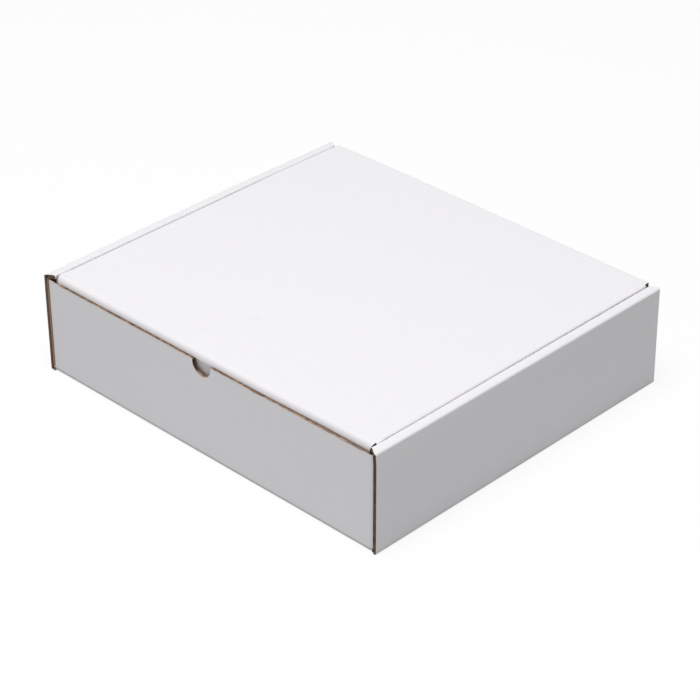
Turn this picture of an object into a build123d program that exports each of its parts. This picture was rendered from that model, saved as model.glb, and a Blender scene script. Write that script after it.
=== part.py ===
from build123d import *
from math import atan, degrees, radians, sqrt, tan
import os

# Mailer box, folded from one die-cut sheet of white-faced corrugated board.
# X runs to the right, Y to the rear and Z up. The origin is the middle of the base's underside.
# Every outer-face path below has the board on its left, so each fold turns left.

# Overall sizes, in millimetres
box_width = 340.0
box_depth = 302.0
box_height = 82.8  # to the top of the rolled side edges

# The board and its folds
board = 2.9
fold_radius = 1.4  # outside of a fold
hinge_radius = 2.2  # outside of the fold between the rear wall and the lid
lid_front_radius = 4.4  # outside of the fold between the lid and the tuck flap
crease_radius = 0.4  # inside of every fold
layer_gap = 0.15  # between the three layers of a side wall

# Front and rear walls
front_recess = 1.0  # the front wall stands this far inside the ends of the side walls
front_drop = 3.8  # its raw top edge lies this far below the rolled edges
notch_radius = 9.2  # thumb notch in the middle of its top edge
notch_depth = 11.2

# Corner flaps, which turn back from the front and rear walls into the side walls
corner_flap_length = 80.0
corner_flap_drop = 4.4  # top edge below the rolled edges
corner_flap_lift = 0.5  # bottom edge above the base
corner_flap_taper = 9.0  # cut off both free corners
shoulder_width = 1.4  # the walls' top edges slope down to the corner flaps
shoulder_clearance = 0.4  # under the rolled edges

# Rolled side edges, and the inner layers below them with the tabs that lock into the base
rolled_edge_slant = 3.4  # each end slopes back by this from its outer corner
end_clearance = 0.6  # from the inner layers to the front and rear walls
inner_wall_lift = 0.3  # above the base
tab_count = 2  # on each side
tab_length = 36.0
tab_chamfer = 1.2
tab_lift = 0.3  # tab ends above the underside
slot_clearance = 0.3  # round each tab

# Lid
lid_rise = 0.5  # top face above the rolled edges
lid_gap = 0.8  # to the rolled edges at each side
hinge_gap = 0.3  # between the mitred faces of the hinge fold
corner_relief = 1.4  # the lid's corners stand this far inside its side folds
front_relief_length = 4.8
rear_relief_length = 6.0
side_flap_depth = 36.0
side_flap_taper = 16.0  # each end slopes back by this over its depth

# Tuck flap at the front of the lid
tuck_gap = 0.3  # to the front wall
tuck_depth = 56.0
tuck_inset = 0.75  # its edges stand this far inside the side flaps
tuck_taper = 3.0  # each edge slopes in by this over its depth
tuck_corner_radius = 14.0
tuck_lean_margin = 0.7  # degrees past the lean that just swings clear

overrun = 20.0  # how far cutters reach past what they cut

# Places that follow from the sizes
half_width = box_width / 2
half_depth = box_depth / 2
roll_width = 3 * board + 2 * layer_gap
roll_inner = half_width - roll_width
wall_half = half_width - board - layer_gap
side_foot = wall_half - board / 2  # where the side walls join the base
front_face = front_recess - half_depth
rear_face = half_depth
front_top = box_height - front_drop
base_clear = board + corner_flap_lift
corner_flap_top = box_height - corner_flap_drop
roll_underside = box_height - board
inner_wall_front = front_face + board + end_clearance
inner_wall_rear = rear_face - board - end_clearance
inner_wall_foot = board + inner_wall_lift
lid_top = box_height + lid_rise
lid_half = roll_inner - lid_gap
lid_corner_half = lid_half - corner_relief
tuck_face = front_face + board + tuck_gap
tuck_half = lid_half - board - tuck_inset
side_flap_front = tuck_face + front_relief_length
side_flap_rear = rear_face - rear_relief_length

# The rigid flap swings about the hinge, so it leans in by what its own depth needs to pass the front wall.
swing_reach = rear_face - tuck_face
tuck_lean = degrees(atan(tuck_depth / (2 * swing_reach))) + tuck_lean_margin
tuck_run_in = tuck_depth * tan(radians(tuck_lean))


def offset_path(path, distance):
    """The path moved to its left by distance, with mitred corners."""
    points = [Vector(*p) for p in path]
    steps = [(b - a).normalized() for a, b in zip(points, points[1:])]
    normals = [Vector(-s.Y, s.X) for s in steps]
    moved = [points[0] + normals[0] * distance]
    for before, after, corner in zip(normals, normals[1:], points[1:-1]):
        moved.append(corner + (before + after) * (distance / (1 + before.dot(after))))
    moved.append(points[-1] + normals[-1] * distance)
    return [(p.X, p.Y) for p in moved]


def rounded_line(points, radii):
    """Straight runs through the points, with a tangent arc of its own radius at each corner."""
    points = [Vector(*p) for p in points]
    edges = []
    start = points[0]
    for before, corner, after, radius in zip(points, points[1:], points[2:], radii):
        inward = (corner - before).normalized()
        outward = (after - corner).normalized()
        reach = radius * tan(radians(inward.get_angle(outward)) / 2)
        edges.append(Line(start, corner - inward * reach))
        edges.append(TangentArc(corner - inward * reach, corner + outward * reach, tangent=inward))
        start = corner + outward * reach
    edges.append(Line(start, points[-1]))
    return edges


def folded_sheet(path, radii, plane, low, high):
    """Board along an outer-face path in a plane, from low to high along the plane's normal."""
    inside = offset_path(path, board)
    outline = rounded_line(path, radii) + rounded_line(inside, [crease_radius] * len(radii))
    ends = [Line(path[0], inside[0]), Line(path[-1], inside[-1])]
    return extrude(plane.offset(low) * make_face(outline + ends), amount=high - low)


def prism(points, plane, low, high):
    """A straight-sided solid over points in a plane, from low to high along its normal."""
    return extrude(plane.offset(low) * make_face(Polyline(*points, close=True)), amount=high - low)


def both_sides(shape):
    """The shape and its mirror image on the other side of the box."""
    return [shape, mirror(shape, about=Plane.YZ)]


def hinge_cutter(way):
    """What lies past the hinge fold's mitre, seen from the tray's half (-1) or the lid's half (1)."""
    shift = way * hinge_gap / (2 * sqrt(2))
    outer = Vector(rear_face + overrun - shift, lid_top + overrun + shift)
    inner = Vector(rear_face - 2 * board - shift, lid_top - 2 * board + shift)
    if way < 0:
        far = [(rear_face - 2 * overrun, inner.Y), (rear_face - 2 * overrun, outer.Y)]
    else:
        far = [(inner.X, lid_top - 2 * overrun), (outer.X, lid_top - 2 * overrun)]
    points = [(outer.X, outer.Y), (inner.X, inner.Y), *far]
    return prism(points, Plane.YZ, -half_width, half_width)


# XZ looks to the rear with Y falling along its normal, so spans in Y are given as -rear, -front.
def along_y(path, front, rear):
    """Folded board with an XZ section that runs from front to rear."""
    return folded_sheet(path, [fold_radius] * (len(path) - 2), Plane.XZ, -rear, -front)


def base_and_end_walls():
    """Front wall, base and rear wall in one strip, up to the tray's half of the hinge fold."""
    path = [
        (front_face, front_top),
        (front_face, 0),
        (rear_face, 0),
        (rear_face, lid_top),
        (rear_face - overrun, lid_top),
    ]
    radii = [fold_radius, fold_radius, hinge_radius]
    strip = folded_sheet(path, radii, Plane.YZ, -wall_half, wall_half)
    strip -= hinge_cutter(-1)
    # The walls' ends give way to the rounded corner folds.
    fold_start = wall_half - fold_radius
    wall_end = prism(
        [(fold_start, base_clear), (half_width, base_clear), (half_width, lid_top), (fold_start, lid_top)],
        Plane.XZ,
        -half_depth - overrun,
        half_depth + overrun,
    )
    return strip - both_sides(wall_end)


def corner_flaps():
    """The four corner flaps with the vertical folds that carry them."""
    fold_start = wall_half - fold_radius - board
    front_path = [
        (fold_start, front_face),
        (wall_half, front_face),
        (wall_half, front_face + corner_flap_length),
    ]
    rear_path = [
        (wall_half, rear_face - corner_flap_length),
        (wall_half, rear_face),
        (fold_start, rear_face),
    ]
    flaps = []
    for path, root, tip_way in ((front_path, front_face, 1), (rear_path, rear_face, -1)):
        flap = folded_sheet(path, [fold_radius], Plane.XY, base_clear, front_top)
        tip = root + tip_way * corner_flap_length
        taper_start = tip - tip_way * corner_flap_taper
        for edge, way in ((corner_flap_top, -1), (base_clear, 1)):
            corner = [(tip, edge), (taper_start, edge), (tip, edge + way * corner_flap_taper)]
            flap -= prism(corner, Plane.YZ, wall_half - board - overrun, wall_half + overrun)
        above = [
            (root + tip_way * (board + fold_radius), corner_flap_top),
            (tip + tip_way * overrun, corner_flap_top),
            (tip + tip_way * overrun, box_height),
            (root + tip_way * (board + fold_radius), box_height),
        ]
        flap -= prism(above, Plane.YZ, wall_half - board - overrun, wall_half + overrun)
        flaps += both_sides(flap)
    return flaps


def shoulder_cutters():
    """What slopes the end walls' top edges down to the corner flaps, under the rolled edges."""
    low_point = roll_underside - shoulder_clearance
    slope = [
        (roll_inner + shoulder_width, low_point),
        (half_width, corner_flap_top),
        (half_width, lid_top + overrun),
    ]
    front = [(roll_inner, front_top), (roll_inner, lid_top + overrun)]
    rear = [(lid_corner_half, low_point), (lid_corner_half, lid_top + overrun)]
    reach = board + fold_radius
    cutters = []
    for start, low, high in (
        (front, -front_face - reach, half_depth + overrun),
        (rear, -half_depth - overrun, reach - rear_face),
    ):
        cutters += both_sides(prism([start[1], start[0], *slope], Plane.XZ, low, high))
    return cutters


def side_wall():
    """Right side wall: up, over the rolled edge and down inside, from the base's edge to the locking tabs."""
    path = [
        (side_foot, 0),
        (half_width, 0),
        (half_width, box_height),
        (roll_inner, box_height),
        (roll_inner, inner_wall_foot),
    ]
    wall = along_y(path, -half_depth, half_depth)
    outer_crease = half_width - board / 2
    inner_crease = roll_inner + board / 2
    for end, inner_end, way in ((-half_depth, inner_wall_front, 1), (half_depth, inner_wall_rear, -1)):
        past = end - way * overrun
        slant_end = end + way * rolled_edge_slant
        # The rolled edge's ends slant from crease to crease, and the inner layer is shorter.
        slant = [
            (outer_crease, end),
            (outer_crease, past),
            (roll_inner - overrun, past),
            (roll_inner - overrun, slant_end),
            (inner_crease, slant_end),
        ]
        wall -= prism(slant, Plane.XY, roll_underside, box_height + overrun)
        square = [
            (half_width - board - layer_gap, past),
            (roll_inner - overrun, past),
            (roll_inner - overrun, inner_end),
            (half_width - board - layer_gap, inner_end),
        ]
        wall -= prism(square, Plane.XY, base_clear - corner_flap_lift, roll_underside)
    for place in tab_places():
        wall += locking_tab(place)
    return wall


def tab_places():
    """Y places of the locking tabs, spread evenly along a side."""
    pitch = box_depth / tab_count
    return [(i + 1 / 2) * pitch - half_depth for i in range(tab_count)]


def locking_tab(place):
    """Tab below the inner layer at Y place, with its lower corners cut off."""
    half = tab_length / 2
    outline = [
        (place - half, inner_wall_foot),
        (place - half, tab_lift + tab_chamfer),
        (place - half + tab_chamfer, tab_lift),
        (place + half - tab_chamfer, tab_lift),
        (place + half, tab_lift + tab_chamfer),
        (place + half, inner_wall_foot),
    ]
    return prism(outline, Plane.YZ, roll_inner, roll_inner + board)


def tab_slots():
    """Cutters for the slots that the tabs pass through."""
    slot_width = board + 2 * slot_clearance
    slot_length = tab_length + 2 * slot_clearance
    cutters = []
    for place in tab_places():
        centre = Pos(roll_inner + board / 2, place, board / 2)
        cutters += both_sides(centre * Box(slot_width, slot_length, board + 2 * overrun))
    return cutters


def thumb_notch():
    """Cutter for the front wall's top edge, straight at first and then half round."""
    through = 2 * (board + front_recess)
    centre = Pos(0, front_face, front_top + notch_radius - notch_depth)
    straight = Pos(0, 0, notch_radius) * Box(2 * notch_radius, through, 2 * notch_radius)
    return centre * (straight + Rot(90, 0, 0) * Cylinder(notch_radius, through))


def tray():
    """Base with all four walls, one folded sheet."""
    body = base_and_end_walls() + corner_flaps()
    body -= shoulder_cutters()
    body -= tab_slots()
    body -= thumb_notch()
    return body + both_sides(side_wall())


def lid_panel_and_tuck_flap():
    """Lid panel from its half of the hinge fold to the end of the tuck flap."""
    path = [
        (rear_face, lid_top - overrun),
        (rear_face, lid_top),
        (tuck_face, lid_top),
        (tuck_face + tuck_run_in, lid_top - tuck_depth),
    ]
    radii = [hinge_radius, lid_front_radius]
    panel = folded_sheet(path, radii, Plane.YZ, -lid_corner_half, lid_corner_half)
    panel -= hinge_cutter(1)
    flap_root = lid_top - board - lid_front_radius
    flap_end = lid_top - tuck_depth
    outline = make_face(
        Polyline(
            (half_width, lid_top + overrun),
            (half_width, flap_root),
            (tuck_half, flap_root),
            (tuck_half - tuck_taper, flap_end),
            (tuck_taper - tuck_half, flap_end),
            (-tuck_half, flap_root),
            (-half_width, flap_root),
            (-half_width, lid_top + overrun),
            close=True,
        )
    )
    outline = fillet(outline.vertices().sort_by(Axis.Y)[:2], tuck_corner_radius)
    start = Plane.XZ.offset(-rear_face - overrun)
    return panel & extrude(start * outline, amount=box_depth + 2 * overrun)


def lid_side_flap():
    """Right side flap of the lid with the fold that carries it, its ends sloping back."""
    path = [
        (lid_half, lid_top - side_flap_depth),
        (lid_half, lid_top),
        (lid_half - board - fold_radius, lid_top),
    ]
    flap = along_y(path, side_flap_front, side_flap_rear)
    slope_top = lid_top - board - crease_radius
    slope_foot = lid_top - side_flap_depth
    for end, way in ((side_flap_front, 1), (side_flap_rear, -1)):
        corner = [
            (end, slope_top),
            (end + way * side_flap_taper, slope_foot),
            (end, slope_foot),
        ]
        flap -= prism(corner, Plane.YZ, lid_half - board - overrun, lid_half + overrun)
    return flap


def lid():
    """Lid panel with its tuck flap and two side flaps, one folded sheet."""
    return lid_panel_and_tuck_flap() + both_sides(lid_side_flap())


def main():
    os.makedirs("parts", exist_ok=True)
    for name, make in (("tray", tray), ("lid", lid)):
        shape = make()
        shape.label = name
        export_step(shape, f"parts/{name}.step")


main()
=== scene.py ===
import math

import bmesh
import bpy
from mathutils import Matrix, Vector, noise
from mathutils.bvhtree import BVHTree
from mathutils.geometry import intersect_point_line
from mathutils.kdtree import KDTree


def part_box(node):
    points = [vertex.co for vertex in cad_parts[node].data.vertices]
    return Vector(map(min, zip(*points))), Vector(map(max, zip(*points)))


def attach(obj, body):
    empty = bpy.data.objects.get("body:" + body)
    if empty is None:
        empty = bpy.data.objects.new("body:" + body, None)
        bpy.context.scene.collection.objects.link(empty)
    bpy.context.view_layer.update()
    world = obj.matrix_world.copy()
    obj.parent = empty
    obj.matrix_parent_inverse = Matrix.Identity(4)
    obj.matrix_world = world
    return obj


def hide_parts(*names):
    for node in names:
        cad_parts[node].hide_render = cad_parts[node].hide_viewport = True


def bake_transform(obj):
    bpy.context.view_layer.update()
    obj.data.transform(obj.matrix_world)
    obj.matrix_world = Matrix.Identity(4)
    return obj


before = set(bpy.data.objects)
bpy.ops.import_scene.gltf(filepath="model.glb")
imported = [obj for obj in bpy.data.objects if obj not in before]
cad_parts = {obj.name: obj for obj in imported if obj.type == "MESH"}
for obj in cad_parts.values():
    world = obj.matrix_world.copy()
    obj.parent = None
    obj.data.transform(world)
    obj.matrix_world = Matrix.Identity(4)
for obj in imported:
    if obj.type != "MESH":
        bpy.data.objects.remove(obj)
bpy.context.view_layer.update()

MM = 0.001
X, Y, Z = Vector((1, 0, 0)), Vector((0, 1, 0)), Vector((0, 0, 1))
right_angle = math.pi / 2

# The box's sizes, as its solids have them
tray_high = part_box("tray")[1]
lid_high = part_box("lid")[1]
board = 2.9 * MM
fold_radius = 1.4 * MM
hinge_radius = 2.2 * MM
lid_front_radius = 4.4 * MM
corner_relief = 1.4 * MM
layer_gap = 0.15 * MM
front_recess = 1.0 * MM
front_drop = 3.8 * MM
lid_rise = 0.5 * MM
lid_gap = 0.8 * MM
tuck_gap = 0.3 * MM
tuck_lean = math.radians(6.1)
notch_radius = 9.2 * MM
notch_depth = 11.2 * MM
half_width = tray_high.x
half_depth = tray_high.y
lid_top = lid_high.z
lid_foot = lid_top - lid_front_radius
box_height = lid_top - lid_rise
roll_inner = lid_high.x + lid_gap
roll_shoulder = box_height - 4 * fold_radius
wall_half = half_width - board - layer_gap
front_face = front_recess - half_depth
front_top = box_height - front_drop
tuck_face = front_face + board + tuck_gap
hinge_centre = Vector((0, half_depth - hinge_radius, lid_top - hinge_radius))

# The board's own build: papers over flutes, which leave a groove in every cut edge
liner = 0.28 * MM
flute_depth = 3.2 * MM
groove_depth = 0.55 * MM
groove_unevenness = 0.45 * MM
groove_roughness = 4.0 * MM
cut_edge_depth = 1.6 * board
flute_end_share = 0.6

# Paper over the hinge fold
hinge_paper_reach = 5.0 * MM
hinge_paper_lift = 0.03 * MM
hinge_paper_depth = 0.12 * MM
hinge_steps = 12

# How finely the meshes are cut, and how exactly places and directions are compared
grid_step = 6.0 * MM
edge_step = 1.4 * MM
arc_step = math.radians(11.25)
flat_angle = math.radians(0.3)
sharp_angle = math.radians(32)
weld_distance = 0.001 * MM
fold_cut_slack = 0.0001 * MM
ray_lift = 0.02 * MM
face_slack = 0.1 * MM
facing_share = 0.9
sideways_share = 0.1
round_slack_share = 0.04
turn_slack = 0.1
way_digits = 3
place_digits = 2

# The board isn't quite flat
bow_height = 0.30 * MM
bow_margin = 0.04 * MM
bow_length = 95.0 * MM
bow_noise_places = (0, 7, 13)

# The front wall's raw top edge is worn and pressed in by the lid's fold, which bulges over it
front_sag = 0.55 * MM
edge_crush = 0.4 * MM
crush_length = 5.0 * MM
crush_start = 1.6 * MM
crush_end = 2.1 * MM
edge_wear = 0.35 * MM
wear_length = 4.0 * MM
dent_depth = 0.6 * MM
dent_place = 54.0 * MM
dent_length = 6.0 * MM
fold_bulge = 1.3 * MM
fold_sink = 0.25 * MM
bulge_loss_share = 0.9
bulge_loss_start = 50.0 * MM
bulge_loss_end = 140.0 * MM
notch_shift = 0.9 * MM
corner_sink = 1.6 * MM
corner_turn = 1.3 * MM
corner_turn_width = 4.0 * MM

# The rolled edges slope down to the outside, and the whole top is a little askew
roll_crown = 0.7 * MM
roll_crown_width = 4.5 * MM
left_spread = 0.45 * MM
right_spread = 0.6 * MM
left_lean = 0.5 * MM
right_lean = 0.5 * MM
left_lift = 0.45 * MM
left_fall = 1.3 * MM
left_fall_start = 40.0 * MM
right_fall = 0.5 * MM
lid_spread = 1.0 * MM
lid_corner_spread = 0.9 * MM

# White outer paper
white_fibre = 0.9 * MM
white_cloud = 14.0 * MM
speck_spacing = 2.6 * MM
# Painted shade on the lower folds: the heights where the band begins and where it is full
foot_shade_top = 3.4 * MM
foot_shade_foot = 1.6 * MM
paper_relief = 0.1 * MM
white_dark = (0.845, 0.83, 0.85, 1.0)
white_light = (0.88, 0.865, 0.885, 1.0)
white_clouded = (0.845, 0.835, 0.862, 1.0)
mark_tone = (0.25, 0.23, 0.22, 1.0)
speck_tone = (0.42, 0.40, 0.40, 1.0)
# The colour of the painted shade on the lower folds is the last of these
foot_shade_tone = (0.30, 0.29, 0.29, 1.0)
white_cloud_share = 0.35
speck_share = 0.25
# How strong the painted shade on the lower folds is on the sides and on the front
foot_shade_side_share = 0.2
foot_shade_front_share = 0.5

# Brown inner paper
kraft_fibre = 0.7 * MM
kraft_cloud = 25.0 * MM
kraft_stretch_shares = (0.2, 1.0, 1.0)
kraft_dark = (0.36, 0.235, 0.145, 1.0)
kraft_light = (0.47, 0.325, 0.21, 1.0)
kraft_clouded = (0.40, 0.27, 0.17, 1.0)
kraft_cloud_share = 0.3

# Cut edges
raw_fibre = 0.8 * MM
raw_patch = 9.0 * MM
torn_bit = 4.0 * MM
raw_relief = 0.2 * MM
raw_dark = (0.085, 0.052, 0.038, 1.0)
raw_light = (0.17, 0.112, 0.082, 1.0)
raw_patchy = (0.21, 0.145, 0.10, 1.0)
left_edge_outside = (0.24, 0.165, 0.125, 1.0)
# Painted shade on the inner part of the left side's cut edge, where that part lies in shadow
left_edge_inner_shade = (0.075, 0.048, 0.037, 1.0)
torn_dark = (0.27, 0.185, 0.14, 1.0)
torn_light = (0.45, 0.32, 0.225, 1.0)
raw_patch_share = 0.6
# How much of the painted shade the left side's cut edge takes
left_edge_shade_share = 0.85

# The levels between which each noise, or each lean of the surface, takes effect
fibre_range = (0.3, 0.7)
white_cloud_range = (0.35, 0.65)
kraft_cloud_range = (0.3, 0.7)
speck_range = (0.80, 0.84)
raw_patch_range = (0.45, 0.7)
torn_range = (0.47, 0.62)
# Painted shade across the left side's cut edge, from its outer to its inner part
left_edge_shade_range = (0.35, 0.6)
# Painted shade on the lower folds: how far the surface faces down, and how far it faces front
foot_shade_down_range = (-0.98, -0.8)
foot_shade_front_range = (-0.2, -0.7)
edge_up_range = (0.3, 0.6)

# Marks from handling: pixels of the photo, sizes in millimetres, and how much each darkens the paper
lid_mark_pixels = (
    (245, 317), (256, 318), (266, 319), (203, 330),
    (134, 300), (240, 339), (284, 338), (286, 373),
)
lid_mark_sizes = (3.5, 4.5, 3.0, 4.0, 1.0, 0.9, 0.9, 1.0)
lid_mark_shares = (0.03, 0.035, 0.03, 0.03, 0.08, 0.07, 0.08, 0.08)
right_mark_pixels = ((445, 423), (520, 385), (385, 455), (393, 529))
right_mark_sizes = (1.3, 1.2, 1.3, 1.3)
right_mark_shares = (0.10, 0.08, 0.10, 0.08)
front_mark_pixels = ((128, 381),)
front_mark_sizes = (1.3,)
front_mark_shares = (0.10,)
mark_core_share = 0.3

# The camera, fitted to the photo's corners and edges, with its sensor in millimetres
photo_side = 700
focal_pixels = 2485.7
sensor_width = 36.0
camera_azimuth = math.radians(44.209)
camera_elevation = math.radians(31.968)
camera_roll = math.radians(-0.054)
camera_distance = 1872.45 * MM
camera_aside = -0.78 * MM
camera_up = 19.03 * MM
camera_near = 50.0 * MM
camera_far = 50000.0 * MM

# Floor and light, in metres and watts
floor_half = 8.0
floor_gap = 0.05 * MM
floor_grey = 0.5
floor_glow_share = 0.82
fill_strength = 0.38
light_aim = Vector((0, 0, 0.05))
key_place = Vector((0.15, -0.45, 2.4))
key_side = 1.4
key_power = 39.9
front_light_place = Vector((-0.2, -2.4, 1.1))
front_light_side = 1.6
front_light_power = 3.6
right_light_place = Vector((2.4, -0.6, 1.2))
right_light_side = 1.6
right_light_power = 0.2


def camera_frame():
    """The camera's right, up and back directions, and its place."""
    back = Vector((
        math.sin(camera_azimuth) * math.cos(camera_elevation),
        -math.cos(camera_azimuth) * math.cos(camera_elevation),
        math.sin(camera_elevation),
    ))
    right = Z.cross(back).normalized()
    up = back.cross(right)
    turn = Matrix.Rotation(camera_roll, 3, back)
    right, up = turn @ right, turn @ up
    return right, up, back, right * camera_aside + up * camera_up + back * camera_distance


def make_camera():
    """The camera at the photo's viewing angle."""
    right, up, back, place = camera_frame()
    data = bpy.data.cameras.new("camera")
    data.sensor_width = sensor_width
    data.lens = focal_pixels / photo_side * sensor_width
    data.clip_start = camera_near
    data.clip_end = camera_far
    camera = bpy.data.objects.new("camera", data)
    turn = Matrix((right, up, back)).transposed()
    camera.matrix_world = Matrix.Translation(place) @ turn.to_4x4()
    bpy.context.scene.collection.objects.link(camera)
    bpy.context.scene.camera = camera


def photo_point(across, down, axis, level):
    """Where a pixel of the photo meets the plane square to an axis at a level."""
    right, up, back, place = camera_frame()
    half = photo_side / 2
    ray = right * (across - half) / focal_pixels - up * (down - half) / focal_pixels - back
    return place + ray * (level - place[axis]) / ray[axis]


class Nodes:
    """A material's or the world's nodes, with short calls to add and link them."""

    def __init__(self, owner):
        owner.use_nodes = True
        self.tree = owner.node_tree
        self.tree.nodes.clear()

    def set_input(self, socket, value):
        """Links a socket to another, or gives it a value."""
        if isinstance(value, bpy.types.NodeSocket):
            self.tree.links.new(value, socket)
        else:
            socket.default_value = value

    def add(self, kind, values=None, **settings):
        """A new node with its settings and its inputs' values."""
        node = self.tree.nodes.new(kind)
        for name, value in settings.items():
            setattr(node, name, value)
        for name, value in (values or {}).items():
            self.set_input(node.inputs[name], value)
        return node

    def math(self, operation, first, second, clamp=False):
        node = self.add("ShaderNodeMath", {0: first, 1: second}, operation=operation, use_clamp=clamp)
        return node.outputs[0]

    def coordinate(self, kind):
        """The surface's own coordinates or normal, by their name."""
        return self.add("ShaderNodeTexCoord").outputs[kind]

    def split(self, vector):
        """A vector's X, Y and Z."""
        return self.add("ShaderNodeSeparateXYZ", {0: vector}).outputs

    def noise(self, where, size, detail=2.0, roughness=0.5):
        """Noise from 0 to 1 with features of about one size, in metres."""
        values = {"Vector": where, "Scale": 1 / size, "Detail": detail, "Roughness": roughness}
        return self.add("ShaderNodeTexNoise", values).outputs["Fac"]

    def remap(self, value, low, high, to_low=0.0, to_high=1.0):
        """The value moved from one range to another, and kept within it."""
        values = {"Value": value, "From Min": low, "From Max": high, "To Min": to_low, "To Max": to_high}
        return self.add("ShaderNodeMapRange", values, clamp=True).outputs["Result"]

    def mix(self, share, first, second):
        """The first colour turned into the second by a share."""
        node = self.add("ShaderNodeMix", data_type="RGBA")
        for name, value in (("Factor_Float", share), ("A_Color", first), ("B_Color", second)):
            self.set_input(next(s for s in node.inputs if s.identifier == name), value)
        return next(s for s in node.outputs if s.identifier == "Result_Color")

    def seen(self):
        """1 where the camera sees the surface, directly, in a gloss or through glass, and 0 elsewhere."""
        rays = self.add("ShaderNodeLightPath").outputs
        direct = self.math("ADD", rays["Is Camera Ray"], rays["Is Glossy Ray"])
        return self.math("ADD", direct, rays["Is Transmission Ray"], clamp=True)


def grey(value):
    return (value, value, value, 1.0)


# Materials
def new_material(name):
    """A material with its empty nodes and the place on the object."""
    material = bpy.data.materials.new(name)
    nodes = Nodes(material)
    return material, nodes, nodes.coordinate("Object")


def finish_paper(nodes, tone, fibres, strength, relief, roughness, gloss):
    """Ends a paper's nodes with its shader, whose bump is the paper's fibres."""
    bump = nodes.add("ShaderNodeBump", {"Height": fibres, "Strength": strength, "Distance": relief})
    values = {"Base Color": tone, "Roughness": roughness, "Specular IOR Level": gloss}
    values["Normal"] = bump.outputs[0]
    shader = nodes.add("ShaderNodeBsdfPrincipled", values)
    nodes.add("ShaderNodeOutputMaterial", {"Surface": shader.outputs[0]})


def marks(nodes, where):
    """How much handling has darkened the paper, most in the middle of each mark."""
    groups = (
        (2, lid_top, lid_mark_pixels, lid_mark_sizes, lid_mark_shares),
        (0, half_width, right_mark_pixels, right_mark_sizes, right_mark_shares),
        (1, front_face, front_mark_pixels, front_mark_sizes, front_mark_shares),
    )
    total = 0.0
    for axis, level, pixels, sizes, shares in groups:
        for (across, down), size, share in zip(pixels, sizes, shares):
            centre = tuple(photo_point(across, down, axis, level))
            away = nodes.add("ShaderNodeVectorMath", {0: where, 1: centre}, operation="DISTANCE")
            reach = size * MM
            dark = nodes.remap(away.outputs["Value"], mark_core_share * reach, reach, share, 0.0)
            total = nodes.math("ADD", total, dark)
    return total


def foot_fold_shade(nodes, where):
    """How much painted shade darkens the lower folds where they curve under, most on the front."""
    normal = nodes.split(nodes.coordinate("Normal"))
    low = nodes.remap(nodes.split(where)["Z"], foot_shade_top, foot_shade_foot)
    upright = nodes.remap(normal["Z"], *foot_shade_down_range)
    front = nodes.remap(normal["Y"], *foot_shade_front_range, foot_shade_side_share, foot_shade_front_share)
    return nodes.math("MULTIPLY", nodes.math("MULTIPLY", low, upright), front)


def white_liner():
    """Bleached outer paper with a fine mottle, a cloudy tone, a few specks, marks, and painted shade on the
    lower folds.
    """
    material, nodes, where = new_material("white_liner")
    fibres = nodes.noise(where, white_fibre, detail=4.0, roughness=0.65)
    cloud = nodes.noise(where, white_cloud, detail=3.0)
    specks = nodes.noise(where, speck_spacing, detail=1.0)
    tone = nodes.mix(nodes.remap(fibres, *fibre_range), white_dark, white_light)
    tone = nodes.mix(nodes.remap(cloud, *white_cloud_range, 0.0, white_cloud_share), tone, white_clouded)
    tone = nodes.mix(marks(nodes, where), tone, mark_tone)
    tone = nodes.mix(nodes.remap(specks, *speck_range, 0.0, speck_share), tone, speck_tone)
    # Painted shade along the lower folds, where they curve under toward the floor
    tone = nodes.mix(foot_fold_shade(nodes, where), tone, foot_shade_tone)
    finish_paper(nodes, tone, fibres, strength=0.12, relief=paper_relief, roughness=0.62, gloss=0.35)
    return material


def kraft_liner():
    """Brown inner paper, whose fibres lie across the box."""
    material, nodes, where = new_material("kraft_liner")
    stretch = nodes.add("ShaderNodeMapping", {"Vector": where, "Scale": kraft_stretch_shares}).outputs[0]
    fibres = nodes.noise(stretch, kraft_fibre, detail=5.0, roughness=0.7)
    cloud = nodes.noise(where, kraft_cloud, detail=3.0)
    tone = nodes.mix(nodes.remap(fibres, *fibre_range), kraft_dark, kraft_light)
    tone = nodes.mix(nodes.remap(cloud, *kraft_cloud_range, 0.0, kraft_cloud_share), tone, kraft_clouded)
    finish_paper(nodes, tone, fibres, strength=0.2, relief=paper_relief, roughness=0.75, gloss=0.3)
    return material


def raw_edge():
    """Cut edges: brown fibres, torn and pale on top, and at the box's left side darkened inward by painted
    shade.
    """
    material, nodes, where = new_material("raw_edge")
    fibres = nodes.noise(where, raw_fibre, detail=5.0, roughness=0.75)
    patches = nodes.noise(where, raw_patch, detail=2.0)
    bits = nodes.noise(where, torn_bit, detail=3.0)
    tone = nodes.mix(nodes.remap(fibres, *fibre_range), raw_dark, raw_light)
    tone = nodes.mix(nodes.remap(patches, *raw_patch_range, 0.0, raw_patch_share), tone, raw_patchy)
    # At the box's left side, painted shade darkens the cut edge's inner part, where the recess beside the
    # front wall is in shadow
    across = nodes.split(where)["X"]
    is_left = nodes.math("LESS_THAN", across, board + layer_gap - half_width)
    inward = nodes.remap(across, -half_width, board - half_width)
    left_edge_shading = nodes.mix(nodes.remap(inward, *left_edge_shade_range), left_edge_outside, left_edge_inner_shade)
    tone = nodes.mix(nodes.math("MULTIPLY", is_left, left_edge_shade_share), tone, left_edge_shading)
    torn = nodes.mix(nodes.remap(bits, *torn_range), torn_dark, torn_light)
    up = nodes.split(nodes.coordinate("Normal"))["Z"]
    tone = nodes.mix(nodes.remap(up, *edge_up_range), tone, torn)
    finish_paper(nodes, tone, fibres, strength=0.5, relief=raw_relief, roughness=0.85, gloss=0.2)
    return material


WHITE, KRAFT, RAW = 0, 1, 2
board_materials = [white_liner(), kraft_liner(), raw_edge()]


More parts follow.
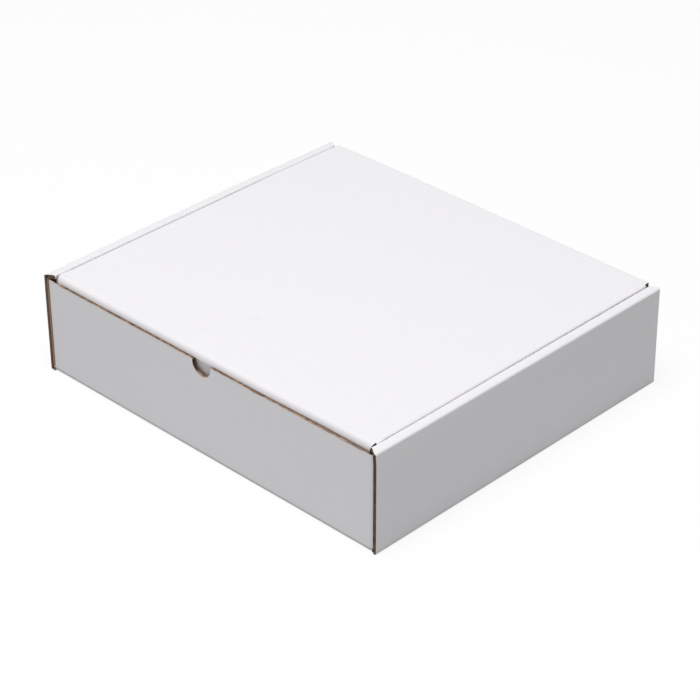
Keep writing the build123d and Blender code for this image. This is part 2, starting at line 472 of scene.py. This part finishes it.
# Meshes
def copy_of_node(name):
    """The node's mesh with its facets merged into flat faces."""
    bm = bmesh.new()
    bm.from_mesh(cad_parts[name].data)
    bmesh.ops.remove_doubles(bm, verts=bm.verts[:], dist=weld_distance)
    bmesh.ops.dissolve_limit(
        bm, angle_limit=flat_angle, use_dissolve_boundaries=False, verts=bm.verts[:], edges=bm.edges[:]
    )
    bm.normal_update()
    return bm


def around(faces):
    """The faces with their edges and corners, as a cut takes them."""
    edges = {e for f in faces for e in f.edges}
    verts = {v for f in faces for v in f.verts}
    return list(faces) + list(edges) + list(verts)


def paint_board(bm, is_outside):
    """Tells cut edges from papered faces by the depth of board behind each flat face."""
    tree = BVHTree.FromBMesh(bm)
    depths = {}
    for corners in bm.calc_loop_triangles():
        a, b, c = (loop.vert.co for loop in corners)
        face = corners[0].face
        area = (b - a).cross(c - a).length
        hit = tree.ray_cast((a + b + c) / 3 - face.normal * ray_lift, -face.normal)
        depths.setdefault(face, []).append((area, math.inf if hit[0] is None else hit[3]))
    for face, found in depths.items():
        thin = sum(area for area, depth in found if depth < cut_edge_depth)
        if thin < sum(area for area, _ in found) / 2:
            face.material_index = RAW
        elif is_outside(face.calc_center_median(), face.normal):
            face.material_index = WHITE
        else:
            face.material_index = KRAFT


def round_fold(bm, axis, centre, radius, start, sweep):
    """Cuts a fold's few facets into many, puts them on the true round and papers them white."""
    first, second = [d for d in (X, Y, Z) if d is not axis]
    origin = first * centre[0] + second * centre[1]
    slack = round_slack_share * radius

    def on_round(v):
        along, up = (v.co - origin).dot(first), (v.co - origin).dot(second)
        turned = (math.atan2(up, along) - start + turn_slack) % math.tau
        return abs(math.hypot(along, up) - radius) < slack and turned < sweep + 2 * turn_slack

    def facets():
        sideways = [f for f in bm.faces if abs(f.normal.dot(axis)) < sideways_share]
        return [f for f in sideways if all(on_round(v) for v in f.verts)]

    steps = math.ceil(sweep / arc_step)
    for i in range(1, steps):
        angle = start + sweep * i / steps
        across = second * math.cos(angle) - first * math.sin(angle)
        geom = around(facets())
        bmesh.ops.bisect_plane(bm, geom=geom, dist=fold_cut_slack, plane_co=origin, plane_no=across)
    round_faces = facets()
    for f in round_faces:
        f.material_index = WHITE
    for v in {v for f in round_faces for v in f.verts}:
        along = (v.co - origin) - axis * (v.co - origin).dot(axis)
        v.co += along.normalized() * (radius - along.length)


def quarter(first, second):
    """Start angle of the quarter round that bulges toward the two signs."""
    return {(1, 1): 0.0, (-1, 1): right_angle, (-1, -1): math.pi, (1, -1): -right_angle}[first, second]


def round_tray_folds(bm):
    """Rounds every fold of the tray."""
    front = front_face + fold_radius
    rear = half_depth - fold_radius
    top = box_height - fold_radius
    round_fold(bm, X, hinge_centre.yz, hinge_radius, 0.0, right_angle / 2)
    round_fold(bm, X, (front, fold_radius), fold_radius, quarter(-1, -1), right_angle)
    round_fold(bm, X, (rear, fold_radius), fold_radius, quarter(1, -1), right_angle)
    for side in (-1, 1):
        outer = side * (half_width - fold_radius)
        inner = side * (roll_inner + fold_radius)
        corner = side * (wall_half - fold_radius)
        round_fold(bm, Y, (outer, fold_radius), fold_radius, quarter(side, -1), right_angle)
        round_fold(bm, Y, (outer, top), fold_radius, quarter(side, 1), right_angle)
        round_fold(bm, Y, (inner, top), fold_radius, quarter(-side, 1), right_angle)
        round_fold(bm, Z, (corner, front), fold_radius, quarter(side, -1), right_angle)
        round_fold(bm, Z, (corner, rear), fold_radius, quarter(side, 1), right_angle)


def round_lid_folds(bm):
    """Rounds every fold of the lid."""
    round_fold(bm, X, hinge_centre.yz, hinge_radius, right_angle / 2, right_angle / 2)
    reach = lid_front_radius * math.tan((right_angle + tuck_lean) / 2)
    front = (tuck_face + reach, lid_foot)
    round_fold(bm, X, front, lid_front_radius, right_angle, right_angle + tuck_lean)
    for side in (-1, 1):
        centre = (side * (lid_high.x - fold_radius), lid_top - fold_radius)
        round_fold(bm, Y, centre, fold_radius, quarter(side, 1), right_angle)


def cut_at(bm, faces, axis, places):
    """Cuts the faces level with every place along an axis, and gives all the resulting faces."""
    if not places or not faces:
        return faces
    middle = len(places) // 2
    place = places[middle]
    below, above, crossing = [], [], []
    for f in faces:
        reach = [v.co[axis] for v in f.verts]
        if max(reach) < place + weld_distance:
            below.append(f)
        elif min(reach) > place - weld_distance:
            above.append(f)
        else:
            crossing.append(f)
    if crossing:
        aim = (X, Y, Z)[axis]
        geom = around(crossing)
        cut = bmesh.ops.bisect_plane(bm, geom=geom, dist=weld_distance, plane_co=aim * place, plane_no=aim)
        for f in cut["geom"]:
            if isinstance(f, bmesh.types.BMFace):
                (below if f.calc_center_median()[axis] < place else above).append(f)
    return cut_at(bm, below, axis, places[:middle]) + cut_at(bm, above, axis, places[middle + 1:])


def cut_grid(bm, faces, step, low, high):
    """Cuts the faces into squares of about one step."""
    for axis in range(3):
        count = int((high[axis] - low[axis]) / step)
        middle = (low[axis] + high[axis]) / 2
        places = [middle + (k - count / 2) * step for k in range(count + 1)]
        faces = cut_at(bm, faces, axis, places)


def tray_outside(p, n):
    """Whether a papered face of the tray is on the sheet's white side."""
    side = 1 if p.x > 0 else -1
    return (
        (n.x * side > facing_share and abs(p.x) > wall_half - face_slack)
        or (n.x * side < -facing_share and abs(p.x) < roll_inner + face_slack)
        or (n.z < -facing_share and p.z < face_slack)
        or (n.z > facing_share and p.z > box_height - face_slack)
        or (n.y < -facing_share and p.y < front_face + face_slack)
        or (n.y > facing_share and p.y > half_depth - face_slack)
    )


def lid_outside(p, n):
    """Whether a papered face of the lid is on the sheet's white side."""
    side = 1 if p.x > 0 else -1
    return n.z > facing_share or n.y < -facing_share or n.x * side > facing_share


def paper_edges(bm):
    """Where cut edges meet paper: each mesh edge, its ends and the way from it into the cut edge."""
    found = []
    for e in bm.edges:
        if len(e.link_faces) != 2:
            continue
        first, second = e.link_faces
        if (first.material_index == RAW) == (second.material_index == RAW):
            continue
        face = first if first.material_index == RAW else second
        start, end = (v.co.copy() for v in e.verts)
        way = face.normal.cross(end - start).normalized()
        if way.dot(face.calc_center_median() - start) < 0:
            way = -way
        found.append((e, start, end, way))
    return found


def cut_lips(bm, borders):
    """Cuts the cut edges' faces a paper's thickness from the paper, and gives the faces past it."""
    planes = {}
    for e, start, _, way in borders:
        key = (*(round(c, way_digits) for c in way), round(way.dot(start) / MM, place_digits))
        planes.setdefault(key, (way, start, []))[2].extend(e.verts)
    for way, start, corners in planes.values():
        near = {f for v in corners if v.is_valid for f in v.link_faces if f.material_index == RAW}
        place = start + way * liner
        bmesh.ops.bisect_plane(bm, geom=around(near), dist=weld_distance, plane_co=place, plane_no=way)
    tree = KDTree(len(borders))
    for i, (_, start, end, _) in enumerate(borders):
        tree.insert((start + end) / 2, i)
    tree.balance()
    reach = max((end - start).length for _, start, end, _ in borders) / 2 + liner
    inner = []
    for f in [f for f in bm.faces if f.material_index == RAW]:
        centre = f.calc_center_median()
        close = False
        for _, i, _ in tree.find_range(centre, reach):
            _, start, end, _ = borders[i]
            nearest, share = intersect_point_line(centre, start, end)
            nearest = start if share < 0 else end if share > 1 else nearest
            close = close or (centre - nearest).length < liner
        if not close:
            inner.append(f)
    return inner


def open_edges(bm, flutes):
    """Sinks the middle of every cut edge between its two papers, deep where flutes end there."""
    bm.normal_update()
    inner = cut_lips(bm, paper_edges(bm))
    grown = bmesh.ops.extrude_face_region(bm, geom=inner)["geom"]
    bmesh.ops.delete(bm, geom=[f for f in inner if f.is_valid], context="FACES_ONLY")
    bm.normal_update()
    normals = {v: Vector() for v in grown if isinstance(v, bmesh.types.BMVert)}
    for f in grown:
        if isinstance(f, bmesh.types.BMFace):
            for v in f.verts:
                normals[v] += f.normal
    for v, normal in normals.items():
        n = normal.normalized()
        rough = groove_unevenness * noise.noise(v.co / groove_roughness)
        is_flute_end = abs(n.dot(flutes(v.co))) > flute_end_share
        v.co += -n * (flute_depth if is_flute_end else groove_depth + rough)


# The real box's shape, a little out of true
def bow(p):
    """How far a place on the box lies from where a perfect box has it."""
    q = p / bow_length
    shares = Vector((p.x / half_width, p.y / half_depth, p.z / lid_top))
    swell = Vector([noise.noise(q + X * place) for place in bow_noise_places])
    return Vector([-share * (bow_margin + bow_height * (1 + n) / 2) for share, n in zip(shares, swell)])


def ease(value, start, end):
    """0 before the start, 1 past the end and smooth between them."""
    share = min(max((value - start) / (end - start), 0.0), 1.0)
    return share * share * (3 - 2 * share)


def left_slope(y):
    """How much higher the left rolled edge is than it should be, from front to rear."""
    return left_lift - left_fall * ease(y, left_fall_start, half_depth)


def left_drop(p):
    """How far the lid and the rear wall under it drop toward the rear left corner."""
    out = ease(-p.x, roll_inner / 2, roll_inner)
    high = ease(p.z, box_height / 2, roll_shoulder)
    return out * high * min(left_slope(p.y), 0.0)


def bend_side_wall(p, place):
    """Moves a place on a rolled side wall as that wall leans, sinks and crowns."""
    side = abs(p.x)
    high = ease(p.z, box_height / 2, roll_shoulder)
    edge = ease(p.z, box_height - 4 * board, box_height)
    rise = ease(p.z, 0, box_height)
    back = ease(p.y, -half_depth, half_depth)
    inner = edge * (1 - ease(side, roll_inner, roll_inner + board))
    outer = ease(side, roll_inner + board, half_width - board)
    place.z -= roll_crown * edge * ease(side, half_width - roll_crown_width, half_width)
    if p.x < 0:
        place.z += high * left_slope(p.y)
        place.x += left_lean * outer * (1 - rise) - left_spread * inner
    else:
        fall = right_fall * back
        tip = ease(p.y, -half_depth, -half_depth + 4 * board)
        place.z -= high * fall
        place.x += right_spread * inner * tip - right_lean * outer * max(edge, rise * back)


def bend_front_wall(p, place):
    """Moves a place on the front wall as its top sags and its raw edge is worn, dented and pressed in."""
    side = abs(p.x)
    top = ease(p.z, front_top - 2 * notch_depth, front_top)
    edge = ease(p.z, front_top - board, front_top)
    inside = ease(p.y, front_face + crush_start - liner, front_face + crush_end)
    crush = edge_crush * (1 + noise.noise(Vector((p.x / crush_length, 0, 0))))
    wear = edge_wear * (1 + noise.noise(Vector((p.x / wear_length, 0, 0)))) / 2
    dent = dent_depth * math.exp(-(((p.x - dent_place) / dent_length) ** 2))
    near_notch = 1 - ease(side, 1.5 * notch_radius, 3 * notch_radius)
    place.z -= top * front_sag * (1 - ease(side, roll_inner - 3 * board, roll_inner - board))
    place.z -= edge * inside * (crush + corner_sink * ease(side, roll_inner - board, roll_inner))
    place.z -= edge * (wear + dent)
    place.x -= notch_shift * near_notch * top
    place.y += corner_turn * ease(p.x, wall_half - corner_turn_width, wall_half)


def bent_tray(p):
    """Where a place on the tray lies, with the walls a little out of true and the cut edges worn."""
    place = p + bow(p)
    side = abs(p.x)
    if side > roll_inner - layer_gap:
        bend_side_wall(p, place)
    elif p.y > half_depth - board - layer_gap:
        place.z += left_drop(p)
    is_front_wall = p.y < front_face + board + layer_gap and side < wall_half + layer_gap / 2
    if is_front_wall and p.z < front_top + layer_gap:
        bend_front_wall(p, place)
    return place


def bend_lid_front(p, place):
    """Moves a place near the lid's front fold as it sinks, spreads and bulges over the front wall's edge."""
    side = abs(p.x)
    low = ease(p.z, lid_foot - notch_depth, lid_foot)
    low *= 1 - ease(p.z, lid_foot, lid_top - fold_radius / 2)
    place.z -= low * (front_sag + fold_sink)
    seen = 1 - ease(side, notch_radius - board, notch_radius + liner)
    step = 2 * liner + seen * notch_depth / 2
    forward = ease(p.z, lid_foot - step, lid_foot)
    forward *= 1 - ease(p.y, tuck_face + board, tuck_face + 3 * lid_front_radius)
    forward *= 1 - bulge_loss_share * ease(p.x, bulge_loss_start, bulge_loss_end)
    place.y -= fold_bulge * forward
    corner = ease(side, roll_inner - 3 * board, roll_inner - board)
    place.x += math.copysign(lid_corner_spread, p.x) * corner * ease(p.z, lid_foot + board / 2, lid_top)


def bent_lid(p):
    """Where a place on the lid lies, a little askew and with its front fold over the front wall's edge."""
    place = p + bow(p)
    place.x += lid_spread * max(p.x / lid_high.x, 0) * ease(p.z, lid_top - 4 * board, lid_top)
    place.z += left_drop(p)
    if p.y < tuck_face + 3 * lid_front_radius:
        bend_lid_front(p, place)
    return place


# Pieces
def tray_flutes(p):
    """The direction that flutes run in at a place on the tray."""
    return Z if abs(p.x) > roll_inner - layer_gap and board < p.z < box_height - board else X


def lid_flutes(p):
    """The direction that flutes run in at a place on the lid."""
    return Z if abs(p.x) > lid_high.x - 1.2 * board and p.z < lid_top - board else X


def finish_piece(bm, name):
    """An object of the mesh, in the board's materials, smooth but for its sharp edges."""
    mesh = bpy.data.meshes.new(name)
    bm.to_mesh(mesh)
    bm.free()
    for material in board_materials:
        mesh.materials.append(material)
    mesh.shade_smooth()
    mesh.set_sharp_from_angle(angle=sharp_angle)
    piece = bpy.data.objects.new(name, mesh)
    bpy.context.scene.collection.objects.link(piece)
    return piece


def board_piece(name, node, round_folds, is_outside, flutes, bent, cuts):
    """A node's folded board with true rounds, papered faces, open cut edges and its bends."""
    bm = copy_of_node(node)
    paint_board(bm, is_outside)
    round_folds(bm)
    low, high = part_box(node)
    cut_grid(bm, bm.faces[:], grid_step, low, high)
    for axis, places in enumerate(cuts):
        cut_at(bm, bm.faces[:], axis, places)
    cut_grid(bm, [f for f in bm.faces if f.material_index == RAW], edge_step, low, high)
    open_edges(bm, flutes)
    for v in bm.verts:
        v.co = bent(v.co)
    piece = finish_piece(bm, name)
    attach(piece, node)
    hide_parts(node)


def tray_board():
    """The tray, with more cuts along its rolled edges and along the front wall's pressed edge."""
    roll_cuts = [roll_inner + board, half_width - board]
    crush_cuts = [front_face + crush_start, front_face + crush_end]
    cuts = ([-x for x in reversed(roll_cuts)] + roll_cuts, crush_cuts, [])
    board_piece("tray_board", "tray", round_tray_folds, tray_outside, tray_flutes, bent_tray, cuts)


def lid_board():
    """The lid, with more cuts under its front fold."""
    fold_cuts = [lid_foot - notch_depth / 2, lid_foot - board, lid_foot - 2 * liner, lid_foot - liner]
    cuts = ([], [], fold_cuts)
    board_piece("lid_board", "lid", round_lid_folds, lid_outside, lid_flutes, bent_lid, cuts)


def hinge_profile():
    """Places up the rear wall, round the hinge fold and onto the lid, each with the way out of the paper."""
    profile = [(Vector((0, half_depth, hinge_centre.z - hinge_paper_reach)), Y)]
    for i in range(hinge_steps + 1):
        angle = right_angle * i / hinge_steps
        out = Y * math.cos(angle) + Z * math.sin(angle)
        profile.append((hinge_centre + out * hinge_radius, out))
    profile.append((Vector((0, hinge_centre.y - hinge_paper_reach, lid_top)), Z))
    return profile


def hinge_paper():
    """The paper that runs unbroken over the hinge fold, white outside and kraft inside."""
    profile = hinge_profile()
    half = lid_high.x - corner_relief - layer_gap
    count = int(2 * half / grid_step)
    bm = bmesh.new()
    rows = []
    for i in range(count + 1):
        x = X * (2 * half * i / count - half)
        outer = [bm.verts.new(p + x + out * hinge_paper_lift) for p, out in profile]
        inner = [bm.verts.new(p + x - out * hinge_paper_depth) for p, out in reversed(profile)]
        rows.append(outer + inner)
    for first, second in zip(rows, rows[1:]):
        for k in range(len(first)):
            following = (k + 1) % len(first)
            f = bm.faces.new((first[k], first[following], second[following], second[k]))
            f.material_index = KRAFT if len(profile) <= k < len(first) - 1 else WHITE
    bm.faces.new(rows[0][::-1])
    bm.faces.new(rows[-1])
    bmesh.ops.recalc_face_normals(bm, faces=bm.faces[:])
    for v in bm.verts:
        v.co += bow(v.co) + Z * left_drop(v.co)
    piece = finish_piece(bm, "hinge_paper")
    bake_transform(piece)


# Floor and light
def make_floor():
    """A pale floor that the camera sees as white with the box's shadow."""
    signs = ((-1, -1), (1, -1), (1, 1), (-1, 1))
    mesh = bpy.data.meshes.new("floor")
    mesh.from_pydata([(x * floor_half, y * floor_half, 0) for x, y in signs], [], [(0, 1, 2, 3)])
    floor = bpy.data.objects.new("floor", mesh)
    floor.location.z = -floor_gap
    bpy.context.scene.collection.objects.link(floor)
    material = bpy.data.materials.new("floor")
    nodes = Nodes(material)
    plain = nodes.add("ShaderNodeBsdfDiffuse", {"Color": grey(floor_grey)})
    bright = nodes.add("ShaderNodeBsdfDiffuse", {"Color": grey(1.0)})
    glow = nodes.add("ShaderNodeEmission", {"Color": grey(1.0), "Strength": 1.0})
    shown = nodes.add("ShaderNodeMixShader", {0: floor_glow_share, 1: bright.outputs[0], 2: glow.outputs[0]})
    shader = nodes.add("ShaderNodeMixShader", {0: nodes.seen(), 1: plain.outputs[0], 2: shown.outputs[0]})
    nodes.add("ShaderNodeOutputMaterial", {"Surface": shader.outputs[0]})
    mesh.materials.append(material)


def make_world():
    """Soft light from all round, and white where the camera sees past the floor."""
    world = bpy.data.worlds.new("world")
    bpy.context.scene.world = world
    nodes = Nodes(world)
    fill = nodes.add("ShaderNodeBackground", {"Color": grey(1.0), "Strength": fill_strength})
    backdrop = nodes.add("ShaderNodeBackground", {"Color": grey(1.0), "Strength": 1.0})
    shader = nodes.add("ShaderNodeMixShader", {0: nodes.seen(), 1: fill.outputs[0], 2: backdrop.outputs[0]})
    nodes.add("ShaderNodeOutputWorld", {"Surface": shader.outputs[0]})


def area_light(name, place, side, power):
    """A square lamp that shines at the box."""
    data = bpy.data.lights.new(name, "AREA")
    data.shape = "SQUARE"
    data.size = side
    data.energy = power
    light = bpy.data.objects.new(name, data)
    light.location = place
    light.rotation_mode = "QUATERNION"
    light.rotation_quaternion = (light_aim - place).to_track_quat("-Z", "Y")
    bpy.context.scene.collection.objects.link(light)


tray_board()
lid_board()
hinge_paper()
make_camera()
make_floor()
make_world()
area_light("key", key_place, key_side, key_power)
area_light("front", front_light_place, front_light_side, front_light_power)
area_light("right", right_light_place, right_light_side, right_light_power)
bpy.context.scene.view_settings.view_transform = "Standard"
